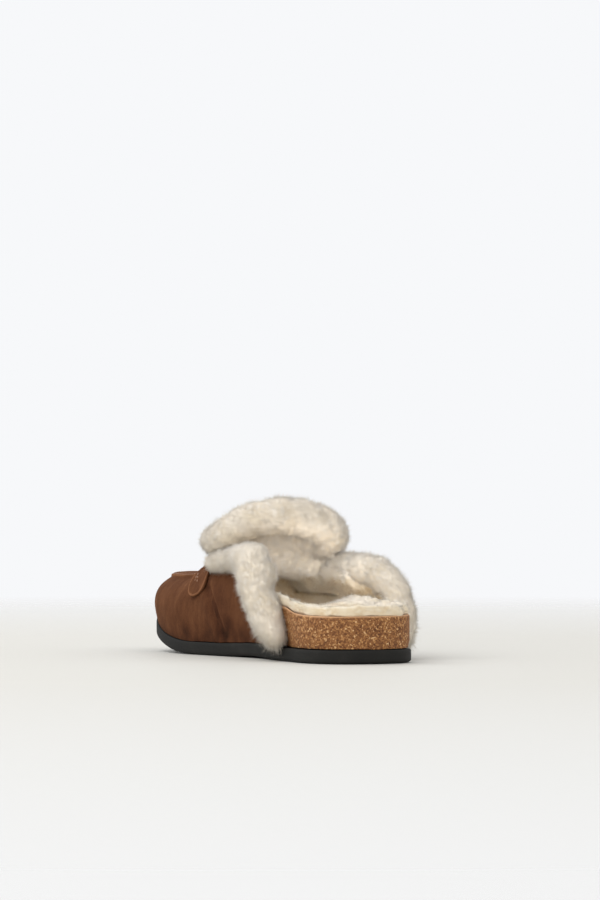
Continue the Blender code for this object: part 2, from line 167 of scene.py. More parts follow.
def keep(piece, material, slot, *nodes):
    """Give a finished piece its material and its body, and hide the solids it stands for. The slot is not
    used.
    """
    piece.data.materials.clear()
    piece.data.materials.append(material)
    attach(piece, "root")
    if nodes:
        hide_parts(*nodes)
    return piece


# Materials

def add(tree, kind, inputs=None, stops=None, **settings):
    """Add one node with its own settings, the values or sockets that feed it, and its ramp colours."""
    made = tree.nodes.new("ShaderNode" + kind)
    for name, value in settings.items():
        setattr(made, name, value)
    for name, value in (inputs or {}).items():
        if isinstance(value, bpy.types.NodeSocket):
            tree.links.new(value, made.inputs[name])
        else:
            made.inputs[name].default_value = value
    if stops:
        ramp = made.color_ramp
        while len(ramp.elements) < len(stops):
            ramp.elements.new(1.0)
        for element, (spot, code) in zip(ramp.elements, stops):
            element.position = spot
            element.color = linear(code)
    return made


def new_material(name):
    made = bpy.data.materials.new(name)
    made.use_nodes = True
    return made, made.node_tree, made.node_tree.nodes["Principled BSDF"]


def set_shader(shader, **values):
    for name, value in values.items():
        shader.inputs[name.replace("_", " ")].default_value = value


def per(size):
    """Texture scale whose features are about one size apart."""
    return 1.0 / size


def weighted(tree, value, weight, rest):
    """A value times its weight, added to the rest."""
    return add(tree, "Math", {0: value, 1: weight, 2: rest}, operation="MULTIPLY_ADD").outputs[0]


SUEDE_RAMP = [(0.0, "#24140d"), (0.2, "#3a2116"), (0.5, "#4f2f1e"), (0.78, "#623e28"), (1.0, "#7f563b")]
# the low, tan end of the wool ramp is reached where shade is painted in
WOOL_RAMP = [(0.0, "#b3936a"), (0.2, "#d2b88f"), (0.45, "#eadabd"), (0.75, "#f6ead7"), (1.0, "#fcf5ea")]
CORK_RAMP = [(0.0, "#5a351d"), (0.35, "#7c4f2c"), (0.62, "#966539"), (0.82, "#b98652"), (1.0, "#e0b988")]
RUBBER_RAMP = [(0.3, "#1b1a18"), (0.6, "#201f1c"), (0.8, "#2a2825")]
THREAD_RAMP = [(0.3, "#7d5740"), (0.7, "#a67e62")]
# colour of the painted highlight on the cork's upward-looking rim
CORK_HIGHLIGHT = "#d3a67c"
SUEDE_SHEEN = "#b5763f"
MIX_FIRST, MIX_SECOND, MIX_RESULT = 6, 7, 2  # colour sockets of a Mix node


def napped_suede():
    """Split leather with a brushed nap: no gloss, soft rim light, strokes where the nap lies over."""
    made, tree, shader = new_material("napped_suede")
    spot = add(tree, "TexCoord").outputs["Object"]
    strokes = add(tree, "Mapping", {"Vector": spot, "Scale": (1.0, 0.8, 0.4)}).outputs["Vector"]
    brushed = add(tree, "TexNoise", {"Vector": strokes, "Scale": per(6 * MM), "Detail": 5.0,
                                     "Roughness": 0.65})
    patches = add(tree, "TexNoise", {"Vector": spot, "Scale": per(26 * MM), "Detail": 3.0})
    nap = add(tree, "TexNoise", {"Vector": spot, "Scale": per(0.9 * MM), "Detail": 2.0})
    mixed = weighted(tree, patches.outputs["Fac"], 0.6, brushed.outputs["Fac"])
    grained = weighted(tree, nap.outputs["Fac"], 0.35, mixed)
    share = add(tree, "MapRange", {"Value": grained, "From Min": 0.58, "From Max": 1.4, "To Min": 0.24})
    # Painted shade and painted highlights along lines of the suede pieces, with a little rubbed edge, move
    # the colour along the ramp
    painted_light_and_wear = add(tree, "Attribute", attribute_name="painted_light_and_wear")
    with_painted_light = add(tree, "Math", {0: share.outputs["Result"], 1: painted_light_and_wear.outputs["Fac"]}, operation="ADD")
    colour = add(tree, "ValToRGB", {"Fac": with_painted_light.outputs[0]}, SUEDE_RAMP)
    bump = add(tree, "Bump", {"Height": nap.outputs["Fac"], "Strength": 0.35, "Distance": 0.5 * MM})
    tree.links.new(colour.outputs["Color"], shader.inputs["Base Color"])
    tree.links.new(bump.outputs["Normal"], shader.inputs["Normal"])
    set_shader(shader, Roughness=0.95, Specular_IOR_Level=0.1, Sheen_Weight=0.2, Sheen_Roughness=0.5,
               Sheen_Tint=linear(SUEDE_SHEEN))
    return made


def shearling_wool():
    """Sheared sheepskin pile: cream tips over deeper, yellower roots and partings, which are painted shade of
    the pile's depth, and a tan low end where the inside of the shoe is painted as painted shade; matte and
    soft.
    """
    made, tree, shader = new_material("shearling_wool")
    spot = add(tree, "TexCoord").outputs["Object"]
    tint_and_painted_shade = add(tree, "Attribute", attribute_name="tint_and_painted_shade")
    patches = add(tree, "TexNoise", {"Vector": spot, "Scale": per(11 * MM), "Detail": 3.0})
    share = add(tree, "MapRange", {"Value": patches.outputs["Fac"], "From Min": 0.3, "From Max": 0.7,
                                   "To Min": -0.05, "To Max": 0.05})
    height = add(tree, "Math", {0: tint_and_painted_shade.outputs["Fac"], 1: share.outputs["Result"]}, operation="ADD")
    colour = add(tree, "ValToRGB", {"Fac": height.outputs[0]}, WOOL_RAMP)
    tree.links.new(colour.outputs["Color"], shader.inputs["Base Color"])
    set_shader(shader, Roughness=1.0, Specular_IOR_Level=0.1, Sheen_Weight=0.2, Sheen_Roughness=0.6)
    return made


def pressed_cork():
    """Cork granules pressed with latex: pale and dark crumbs of about a millimetre with small pits."""
    made, tree, shader = new_material("pressed_cork")
    spot = add(tree, "TexCoord").outputs["Object"]
    crumbs = add(tree, "TexVoronoi", {"Vector": spot, "Scale": per(1.15 * MM), "Randomness": 1.0})
    fine = add(tree, "TexVoronoi", {"Vector": spot, "Scale": per(0.75 * MM), "Randomness": 1.0})
    patches = add(tree, "TexNoise", {"Vector": spot, "Scale": per(7 * MM), "Detail": 3.0})
    crumb_tone = add(tree, "SeparateColor", {"Color": crumbs.outputs["Color"]})
    fine_tone = add(tree, "SeparateColor", {"Color": fine.outputs["Color"]})
    tones = weighted(tree, fine_tone.outputs["Red"], 1.4, crumb_tone.outputs["Red"])
    level = weighted(tree, patches.outputs["Fac"], 0.5, tones)
    share = add(tree, "MapRange", {"Value": level, "From Min": 0.35, "From Max": 2.6})
    colour = add(tree, "ValToRGB", {"Fac": share.outputs["Result"]}, CORK_RAMP)
    # painted highlight where the cork's rim looks up
    rim = add(tree, "Attribute", attribute_name="rim")
    with_rim_highlight = add(tree, "Mix", {"Factor": rim.outputs["Fac"], MIX_FIRST: colour.outputs["Color"],
                              MIX_SECOND: linear(CORK_HIGHLIGHT)}, data_type="RGBA")
    bump = add(tree, "Bump", {"Height": fine.outputs["Distance"], "Strength": 0.5, "Distance": 0.5 * MM})
    tree.links.new(with_rim_highlight.outputs[MIX_RESULT], shader.inputs["Base Color"])
    tree.links.new(bump.outputs["Normal"], shader.inputs["Normal"])
    set_shader(shader, Roughness=0.75, Specular_IOR_Level=0.3)
    return made


def foam_rubber():
    """Cut sheet of black foam rubber: matte, with the fine open grain of the cut cells."""
    made, tree, shader = new_material("foam_rubber")
    spot = add(tree, "TexCoord").outputs["Object"]
    cells = add(tree, "TexVoronoi", {"Vector": spot, "Scale": per(0.8 * MM)})
    scuffs = add(tree, "TexNoise", {"Vector": spot, "Scale": per(14 * MM), "Detail": 5.0})
    colour = add(tree, "ValToRGB", {"Fac": scuffs.outputs["Fac"]}, RUBBER_RAMP)
    bump = add(tree, "Bump", {"Height": cells.outputs["Distance"], "Strength": 0.25, "Distance": 0.3 * MM})
    tree.links.new(colour.outputs["Color"], shader.inputs["Base Color"])
    tree.links.new(bump.outputs["Normal"], shader.inputs["Normal"])
    set_shader(shader, Roughness=0.78, Specular_IOR_Level=0.25)
    return made


def waxed_thread():
    """Waxed polyester thread: a little paler than the suede, satin, with a fine twist."""
    made, tree, shader = new_material("waxed_thread")
    spot = add(tree, "TexCoord").outputs["Object"]
    twist = add(tree, "TexNoise", {"Vector": spot, "Scale": per(0.6 * MM), "Detail": 1.0})
    colour = add(tree, "ValToRGB", {"Fac": twist.outputs["Fac"]}, THREAD_RAMP)
    tree.links.new(colour.outputs["Color"], shader.inputs["Base Color"])
    set_shader(shader, Roughness=0.6, Specular_IOR_Level=0.3)
    return made


# Sole

Tread = namedtuple("Tread", "rear front")
TREADS = [Tread(116, 62), Tread(0, -54)]
TREAD_STEP = 7.0 * MM
TREAD_WIDTH = 2.6 * MM
TREAD_DEPTH = 1.1 * MM
TREAD_MARGIN = 7.0 * MM
TREAD_WAVE = 1.6 * MM
TREAD_WAVE_LENGTH = 13.0 * MM
TREAD_SOLE = 2 * MM
TREAD_POINTS = 40
TREAD_SECTION = [(-0.5, -TREAD_DEPTH), (0.5, -TREAD_DEPTH), (0.3, TREAD_DEPTH), (-0.3, TREAD_DEPTH)]
OUTSOLE_ROUNDING = Rounding(2, 28, 0.9)
CORK_ROUNDING = Rounding(2, 35, 0.85)
# painted highlight on the cork rim: from what upward tilt, over what range, and at most how strong
CORK_RIM_TILT = 0.45
CORK_RIM_FADE = 0.4
CORK_RIM_MOST = 0.8


def tread_cutter(piece):
    """Wavy bars across the heel and the ball that cut the tread."""
    under = points_of(piece.data)
    under = under[under[:, 2] < TREAD_SOLE]
    verts, faces = [], []
    for tread in TREADS:
        for middle in np.arange(tread.front * MM, tread.rear * MM, TREAD_STEP):
            near = under[np.abs(under[:, 0] - middle) < TREAD_STEP]
            first, last = near[:, 1].min() + TREAD_MARGIN, near[:, 1].max() - TREAD_MARGIN
            start = len(verts)
            across = np.linspace(first, last, TREAD_POINTS)
            for y in across:
                x = middle + TREAD_WAVE * math.sin(2 * math.pi * y / TREAD_WAVE_LENGTH)
                for side, height in TREAD_SECTION:
                    verts.append((x + side * TREAD_WIDTH, y, height))
            for i in range(len(across) - 1):
                here, there = start + 4 * i, start + 4 * i + 4
                for k in range(4):
                    j = (k + 1) % 4
                    faces.append((here + k, there + k, there + j, here + j))
            faces.append(tuple(range(start, start + 4)))
            faces.append(tuple(range(len(verts) - 1, len(verts) - 5, -1)))
    mesh = bpy.data.meshes.new("tread_cutter")
    mesh.from_pydata(verts, [], faces)
    made = in_scene("tread_cutter", mesh)
    only(made)
    bpy.ops.object.mode_set(mode="EDIT")
    bpy.ops.mesh.select_all(action="SELECT")
    bpy.ops.mesh.normals_make_consistent(inside=False)
    bpy.ops.object.mode_set(mode="OBJECT")
    return made


def foam_outsole():
    """Black sheet with its cut edge and the tread under it."""
    piece = copy_of("outsole", "foam_outsole")
    refine(piece, OUTSOLE_ROUNDING)
    cutter = tread_cutter(piece)
    apply(piece, "BOOLEAN", object=cutter, operation="DIFFERENCE", solver="MANIFOLD")
    bpy.data.objects.remove(cutter)
    only(piece)
    bpy.ops.object.shade_smooth_by_angle(angle=SMOOTH_ANGLE)
    return keep(piece, RUBBER, "outsole_rubber", "outsole")


def cork_footbed():
    """Cork cup, painted paler where its rim looks up, as a painted highlight."""
    piece = copy_of("footbed", "cork_footbed")
    refine(piece, CORK_ROUNDING)
    tilt = normals_of(piece.data)[:, 2]
    paint(piece.data, "rim", np.clip((tilt - CORK_RIM_TILT) / CORK_RIM_FADE, 0.0, CORK_RIM_MOST))
    return keep(piece, CORK, "cork", "footbed")


# Suede pieces

Crease = namedtuple("Crease", "x y z")
MAIN_CREASE = [Crease(-24.9, -42.3, 42.2), Crease(-20.6, -42.8, 39.2), Crease(-16.5, -43.2, 34.5),
               Crease(-13.1, -42.9, 29.7), Crease(-8.5, -41.9, 21.9), Crease(-2.5, -39.4, 12.4)]
REAR_CREASE = [Crease(6.0, -41.5, 47.0), Crease(8.0, -41.0, 38.0), Crease(13.0, -39.0, 26.0)]
OUTER_CREASE = [Crease(-22.0, 44.0, 42.0), Crease(-16.0, 44.5, 33.0), Crease(-12.0, 44.0, 22.0),
                Crease(-4.0, 42.0, 12.0)]
Fold = namedtuple("Fold", "line depth width")
FOLDS = [Fold(MAIN_CREASE, 2.6 * MM, 3.0 * MM),
         Fold(REAR_CREASE, 1.0 * MM, 4.5 * MM),
         Fold(OUTER_CREASE, 1.2 * MM, 4.0 * MM)]
END_DEPTH = 0.2
MIDDLE_DEPTH = 0.8
RIDGE_PLACE = 1.9
RIDGE_SHARE = 0.4


def near_line(places, line):
    """Distance from each place to a line of points, and how far along the line it is nearest."""
    best = np.full(len(places), np.inf)
    share = np.zeros(len(places))
    stops = np.array(line) * MM
    for i, (start, end) in enumerate(zip(stops, stops[1:])):
        run = end - start
        along = np.clip((places - start) @ run / (run @ run), 0, 1)
        gap = np.linalg.norm(places - start - along[:, None] * run, axis=1)
        nearer = gap < best
        best[nearer] = gap[nearer]
        share[nearer] = (i + along[nearer]) / (len(stops) - 1)
    return best, share


def crease(piece, fold):
    """Soft trough along a line with a low ridge on each side, fading at both ends."""
    places, normals = points_of(piece.data), normals_of(piece.data)
    gap, share = near_line(places, fold.line)
    fade = np.sqrt(np.clip(4 * share * (1 - share), 0.0, 1.0)) * MIDDLE_DEPTH + END_DEPTH
    trough = np.exp(-(gap / fold.width) ** 2)
    ridge = np.exp(-((gap - RIDGE_PLACE * fold.width) / fold.width) ** 2)
    place(piece.data, places + normals * (fold.depth * fade * (RIDGE_SHARE * ridge - trough))[:, None])


APRON_FRONT = -50 * MM
APRON_LOW = 38 * MM
APRON_MIDDLE = np.array((-56 * MM, -4 * MM))
APRON_TOP = 60 * MM
APRON_ANGLE = math.radians(24)
APRON_UNDER = -0.3
APRON_STITCH = 1.5 * MM
STRAP_CORE = Vector((-33 * MM, -2 * MM, 30 * MM))
STRAP_FACING = 0.45
EDGE_STITCH = 2.3 * MM
EDGE_STEP = 2 * MM


def apron_edge(piece):
    """The raised edge of the toe apron, in order round the toe."""
    mesh = bmesh.new()
    mesh.from_mesh(piece.data)
    spots = set()
    for edge in mesh.edges:
        if len(edge.link_faces) == 2 and edge.calc_face_angle_signed() > APRON_ANGLE:
            if all(vert.co.x < APRON_FRONT and vert.co.z > APRON_LOW for vert in edge.verts):
                if all(face.normal.z > APRON_UNDER for face in edge.link_faces):
                    spots.update(tuple(vert.co) for vert in edge.verts)
    mesh.free()
    spots = np.array(sorted(spots))
    turn = np.arctan2(spots[:, 1] - APRON_MIDDLE[1], -(spots[:, 0] - APRON_MIDDLE[0]))
    return spots[np.argsort(turn)]


def strap_edge(piece):
    """The outline of the strap's upper face, in order."""
    mesh = bmesh.new()
    mesh.from_mesh(piece.data)
    outside = set()
    for face in mesh.faces:
        outward = (face.calc_center_median() - STRAP_CORE).normalized()
        if face.normal.dot(outward) > STRAP_FACING:
            outside.add(face)
    border = [e for e in mesh.edges if sum(f in outside for f in e.link_faces) == 1]
    links = {}
    for edge in border:
        for vert in edge.verts:
            links.setdefault(vert, []).append(edge.other_vert(vert))
    first = border[0].verts[0]
    loop, before = [first], None
    while True:
        ahead = [v for v in links[loop[-1]] if v is not before]
        before = loop[-1]
        if ahead[0] is first:
            break
        loop.append(ahead[0])
    spots = np.array([vert.co for vert in loop] + [loop[0].co])
    mesh.free()
    return spots


def spaced(line, step):
    """Even places along a line."""
    length = np.concatenate(([0.0], np.cumsum(np.linalg.norm(np.diff(line, axis=0), axis=1))))
    places = np.linspace(0, length[-1], max(int(length[-1] / step), 2) + 1)
    return np.array([np.interp(places, length, column) for column in line.T]).T


def eased(line, rounds):
    """A line with its corners eased, its ends kept."""
    for _ in range(rounds):
        line[1:-1] = 0.25 * line[:-2] + 0.5 * line[1:-1] + 0.25 * line[2:]
    return line


def moved_in(piece, line, distance, middle):
    """A line on a piece's surface, moved in from an edge towards a middle, with its normals."""
    tree = surface_tree(piece)
    spots, facing = [], []
    for i, spot in enumerate(line):
        run = Vector(line[min(i + 1, len(line) - 1)] - line[max(i - 1, 0)]).normalized()
        inward = middle(spot) - Vector(spot)
        inward -= run * inward.dot(run)
        target = Vector(spot) + inward.normalized() * distance
        hit, normal, _, _ = tree.find_nearest(target)
        spots.append(hit)
        facing.append(normal)
    return np.array(spots), np.array(facing)


Thread = namedtuple("Thread", "step length thick")
FINE_THREAD = Thread(2.9 * MM, 2.1 * MM, 0.62 * MM)
TACK_THREAD = Thread(2.4 * MM, 2.2 * MM, 0.8 * MM)
STITCH_ENDS = (-0.5, -0.3, 0.3, 0.5)
STITCH_LIFT = (-0.45, 0.22, 0.22, -0.45)
STITCH_GIRTH = (0.5, 1.0, 1.0, 0.5)
STITCH_SIDES = 6


def stitches(name, spots, facing, thread):
    """Sunk stitches along a line on a surface, as one mesh."""
    line = spaced(spots, thread.step)
    nearest = [np.argmin(np.linalg.norm(spots - spot, axis=1)) for spot in line]
    run = unit(np.gradient(line, axis=0))
    out = unit(facing[nearest] - run * dots(facing[nearest], run)[:, None])
    beside = np.cross(run, out)
    rings = []
    for end, lift, girth in zip(STITCH_ENDS, STITCH_LIFT, STITCH_GIRTH):
        middle = line + run * end * thread.length + out * lift * thread.thick
        for k in range(STITCH_SIDES):
            turn = 2 * math.pi * k / STITCH_SIDES
            rim = beside * math.cos(turn) + out * math.sin(turn)
            rings.append(middle + rim * girth * thread.thick / 2)
    block = len(STITCH_ENDS) * STITCH_SIDES
    start = (np.arange(len(line)) * block)[:, None]
    quads = []
    for ring in range(len(STITCH_ENDS) - 1):
        for k in range(STITCH_SIDES):
            j = (k + 1) % STITCH_SIDES
            low, high = ring * STITCH_SIDES, (ring + 1) * STITCH_SIDES
            quads.append((low + k, high + k, high + j, low + j))
    caps = [tuple(range(STITCH_SIDES)), tuple(range(block - 1, block - 1 - STITCH_SIDES, -1))]
    faces = np.concatenate([start + np.array(quad) for quad in quads]).tolist()
    faces += np.concatenate([start + np.array(cap) for cap in caps]).tolist()
    mesh = bpy.data.meshes.new(name)
    mesh.from_pydata(np.stack(rings, axis=1).reshape(-1, 3), [], faces)
    mesh.shade_smooth()
    return in_scene(name, mesh)


def dig(piece, line, depth, width):
    """Pull a surface down along a line, as thread does."""
    places, normals = points_of(piece.data), normals_of(piece.data)
    gap, _ = near_line(places, line / MM)
    place(piece.data, places - normals * (depth * np.exp(-(gap / width) ** 2))[:, None])


def painted_light_and_wear(piece, *marks):
    """Paint lighter and darker bands into a piece's colour along lines, mostly painted shade and painted
    highlights: each mark is a line, how much lighter it is, and its width.
    """
    places = points_of(piece.data)
    level = np.zeros(len(places))
    for line, lighter, width in marks:
        gap, _ = near_line(places, line / MM)
        level += lighter * np.exp(-(gap / width) ** 2)
    paint(piece.data, "painted_light_and_wear", level)


WELT_STATIONS = np.arange(-128, 60, 3) * MM
WELT_NEAR = 4 * MM


def welt_line():
    """Where the suede meets the outsole, round the toe."""
    places = points_of(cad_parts["upper"].data)
    foot = []
    for side in (-1, 1):
        for x in WELT_STATIONS:
            near = places[(np.abs(places[:, 0] - x) < WELT_NEAR) & (places[:, 1] * side > 0)]
            if len(near):
                foot.append(near[np.argmin(near[:, 2])])
    foot = np.array(foot)
    return foot[np.argsort(np.arctan2(foot[:, 1], -foot[:, 0]))]


UPPER_ROUNDING = Rounding(2, 38, 0.8)
UPPER_EASING = 6
UPPER_LUMPS = (0.5 * MM, 16 * MM, 3.0)
Press = namedtuple("Press", "depth width")
STRAP_PRESS = Press(0.8 * MM, 2.4 * MM)
Shade = namedtuple("Shade", "lighter width")
# Painted light on the upper: a painted shadow along the strap's outline, a painted highlight on the raised
# apron edge, and painted shade in the main crease and where the suede meets the sole
STRAP_SHADE = Shade(-0.5, 2.6 * MM)
APRON_HIGHLIGHT = Shade(0.35, 1.2 * MM)
CREASE_SHADE = Shade(-0.25, 2.5 * MM)
WELT_SHADE = Shade(-0.3, 3.5 * MM)


def suede_upper():
    """Vamp and quarters with their creases, the pressed edge of the strap and the apron seam, with painted
    shade and a painted highlight along them.
    """
    piece = copy_of("upper", "suede_upper")
    edge = eased(spaced(apron_edge(piece), EDGE_STEP), UPPER_EASING)
    band = strap_edge(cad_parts["saddle_strap"])
    refine(piece, UPPER_ROUNDING)
    for fold in FOLDS:
        crease(piece, fold)
    swell(piece, *UPPER_LUMPS)
    dig(piece, band, *STRAP_PRESS)
    main = np.array(MAIN_CREASE) * MM
    # painted shadow along the strap, painted highlight on the apron edge, painted shade in the crease and by
    # the sole
    painted_light_and_wear(piece, (band, *STRAP_SHADE), (edge, *APRON_HIGHLIGHT), (main, *CREASE_SHADE), (welt_line(), *WELT_SHADE))
    top = Vector((*APRON_MIDDLE, APRON_TOP))
    line, facing = moved_in(piece, edge, APRON_STITCH, lambda spot: top)
    keep(piece, SUEDE, "suede", "upper")
    return keep(stitches("apron_stitches", line, facing, FINE_THREAD), THREAD, "suede")


TACK = [(-39.8, -42.4, 49.0), (-38.6, -44.6, 45.6), (-37.6, -45.4, 43.4)]
TACK_BACK = [(-39.8, -42.4, 49.0), (-37.0, -43.6, 47.0), (-34.6, -44.4, 44.8)]
STRAP_EASING = 2
STRAP_BEVEL = 0.5 * MM
STRAP_CORNER = math.radians(50)
STRAP_ROUNDING = Rounding(2, 85, 1.0)
STRAP_TOWARDS = 0.7
STRAP_ABOVE = 4 * MM
STITCH_PRESS = Press(0.35 * MM, 0.8 * MM)
# Painted light on the strap: its edge lighter, partly a rubbed cut edge and partly a painted highlight, and
# painted shade along the sunk stitching
EDGE_RUB_AND_HIGHLIGHT = Shade(0.45, 0.9 * MM)
STITCH_SHADE = Shade(-0.2, 0.9 * MM)


def suede_strap():
    """Band over the instep with an edge painted lighter, partly rubbed and partly a painted highlight, a
    stitched border with painted shade along it and tacks at its inner end.
    """
    piece = copy_of("saddle_strap", "suede_strap")
    edge = eased(spaced(strap_edge(piece), EDGE_STEP), STRAP_EASING)
    apply(piece, "BEVEL", width=STRAP_BEVEL, segments=2, limit_method="ANGLE", angle_limit=STRAP_CORNER,
          use_clamp_overlap=False)
    refine(piece, STRAP_ROUNDING)
    middle_x = (edge[:, 0].min() + edge[:, 0].max()) / 2

    def middle(spot):
        return Vector((middle_x, spot[1] * STRAP_TOWARDS, spot[2] + STRAP_ABOVE))

    line, facing = moved_in(piece, edge, EDGE_STITCH, middle)
    dig(piece, line, *STITCH_PRESS)
    # painted highlight with some rubbed nap on the edge, painted shade along the stitches
    painted_light_and_wear(piece, (edge, *EDGE_RUB_AND_HIGHLIGHT), (line, *STITCH_SHADE))
    rows = [stitches("strap_stitches", line, facing, FINE_THREAD)]
    tree = surface_tree(piece)
    for points in (TACK, TACK_BACK):
        near = [tree.find_nearest(Vector(point) * MM) for point in points]
        spots = np.array([hit[0] for hit in near])
        out = np.array([hit[1] for hit in near])
        rows.append(stitches("strap_tack", spots, out, TACK_THREAD))
    only(rows[0])
    for row in rows[1:]:
        row.select_set(True)
    bpy.ops.object.join()
    keep(piece, SUEDE, "suede", "saddle_strap")
    return keep(rows[0], THREAD, "suede")


PLAIN_ROUNDING = Rounding(2, 40, 1.0)


def suede_tongue():
    """Plain suede plate under the roll."""
    piece = copy_of("tongue", "suede_tongue")
    refine(piece, PLAIN_ROUNDING)
    return keep(piece, SUEDE, "suede", "tongue")


# Shearling pieces

Pile = namedtuple("Pile", "count length thick lock parting gather seed")
PARTING_WIDTH = 0.5
PARTING_WANDER = 0.35
PARTING_BENDS = 1.7
PARTING_OPEN = 0.45
PARTING_VARIES = 0.8
PARTING_LEAST = 0.05
# Levels on the wool ramp: the base of the pile, painted shade sunk into the partings, the hair tips, and the
# roots painted deeper as painted shade of the pile's depth
TOP_TINT = 0.80
PARTING_PAINTED_SHADE = 0.32
TIP_TINT = 0.97
ROOT_TINT = 0.70
FLOW_SIZE = 14 * MM
FLOW_LEAN = 0.5
STRAY_LEAN = 0.28
STRAY_SHARE = 0.18
STRAY_LENGTH = 1.8
CALM_SIZE = 4.0 * MM
CALM_SHARE = 0.8
FLOOR_CLEAR = 2 * MM
HANG_FROM = 22 * MM
HANG_RUN = 12 * MM
HANG_LEAN = 0.9
ROOT_DEPTH = 0.4 * MM
HAIR_LENGTHS = (0.55, 1.1)
HAIR_SHADES = (0.94, 1.03)
PARTED_LENGTH, CROWN_LENGTH = 0.7, 0.3
# hairs in the partings are painted darker as painted shade
PARTED_SHADE, CROWN_SHADE = 0.9, 0.1
HAIR_STOP = 0.85
HAIR_LEAST = 0.4
HAIR_TURNS = (0.0, 2 * math.pi / 3, 4 * math.pi / 3)
HAIR_FACES = ((0, 1, 3), (1, 2, 3), (2, 0, 3), (2, 1, 0))
NO_HAIR = 1e-6


def hard_trees(*without):
    """Search trees of the solids that pile can't grow into."""
    return [surface_tree(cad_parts[name]) for name in HARD_NODES if name not in without]


def calmed(mesh, normals):
    """Normals averaged over a few millimetres, as light spreads in deep pile."""
    ends = np.empty(len(mesh.edges) * 2, int)
    mesh.edges.foreach_get("vertices", ends)
    first, last = ends.reshape(-1, 2).T
    places = points_of(mesh)
    step = np.linalg.norm(places[first] - places[last], axis=1).mean()
    for _ in range(int((CALM_SIZE / step) ** 2)):
        total = normals.copy()
        for k in range(3):
            total[:, k] += np.bincount(first, normals[last, k], len(normals))
            total[:, k] += np.bincount(last, normals[first, k], len(normals))
        normals = unit(total)
    return normals


def roots_on(base, count, random, weight, lit):
    """Random places on a base, more where the weight is higher, with their normals and lighting."""
    mesh = base.data
    mesh.calc_loop_triangles()
    corners = np.empty(len(mesh.loop_triangles) * 3, int)
    mesh.loop_triangles.foreach_get("vertices", corners)
    corners = corners.reshape(-1, 3)
    places, normals = points_of(mesh), normals_of(mesh)
    first, second, third = (places[corners[:, k]] for k in range(3))
    area = np.linalg.norm(np.cross(second - first, third - first), axis=1)
    middle = (first + second + third) / 3
    facing = unit(normals[corners].sum(axis=1))
    area = area * weight(middle, facing)
    chosen = random.choice(len(corners), count, p=area / area.sum())
    shares = random.dirichlet((1, 1, 1), count)
    spots = np.einsum("ij,ijk->ik", shares, places[corners[chosen]])
    facing = unit(np.einsum("ij,ijk->ik", shares, normals[corners[chosen]]))
    lighting = unit(np.einsum("ij,ijk->ik", shares, lit[corners[chosen]]))
    return spots, facing, lighting


def soft_step(values):
    """Smooth rise from 0 to 1 as a value goes from 0 to 1."""
    share = np.clip(values, 0.0, 1.0)
    return share * share * (3 - 2 * share)


def lock_pattern(places, pile):
    """Crown of the lock each place lies in, 1 on its top and 0 in a parting, and the middle of that lock."""
    shift = Vector((pile.seed, 2 * pile.seed, 3 * pile.seed))
    crowns = np.empty(len(places))
    middles = np.empty((len(places), 3))
    for i, spot in enumerate(places):
        bent = Vector(spot) / pile.lock + shift
        bent += noise.noise_vector(bent * PARTING_BENDS) * PARTING_WANDER
        gaps, heads = noise.voronoi(bent)
        crowns[i] = (gaps[1] - gaps[0]) / PARTING_WIDTH
        middles[i] = (heads[0] - shift) * pile.lock
    return soft_step(crowns), middles


def tuft(base, pile):
    """Sink the partings between the locks of pile, some deep and some closed, and paint shade into them."""
    places, normals = points_of(base.data), normals_of(base.data)
    crowns, _ = lock_pattern(places, pile)
    open_share = np.array([noise.noise(Vector(spot) / FLOW_SIZE) for spot in places])
    parted = (1 - crowns) * np.clip(PARTING_OPEN + PARTING_VARIES * open_share, PARTING_LEAST, 1.0)
    place(base.data, places - normals * (parted * pile.parting)[:, None])
    base.data.shade_smooth()
    paint(base.data, "tint_and_painted_shade", TOP_TINT - PARTING_PAINTED_SHADE * parted)


def clear_of(trees, roots, tips):
    """Share of each hair that is free before it meets a solid."""
    room = np.ones(len(roots))
    for i, (root, tip) in enumerate(zip(roots, tips)):
        way = Vector(tip - root)
        length = way.length
        for tree in trees:
            hit = tree.ray_cast(Vector(root), way, length)[3]
            if hit is not None:
                room[i] = min(room[i], HAIR_STOP * hit / length)
    return room


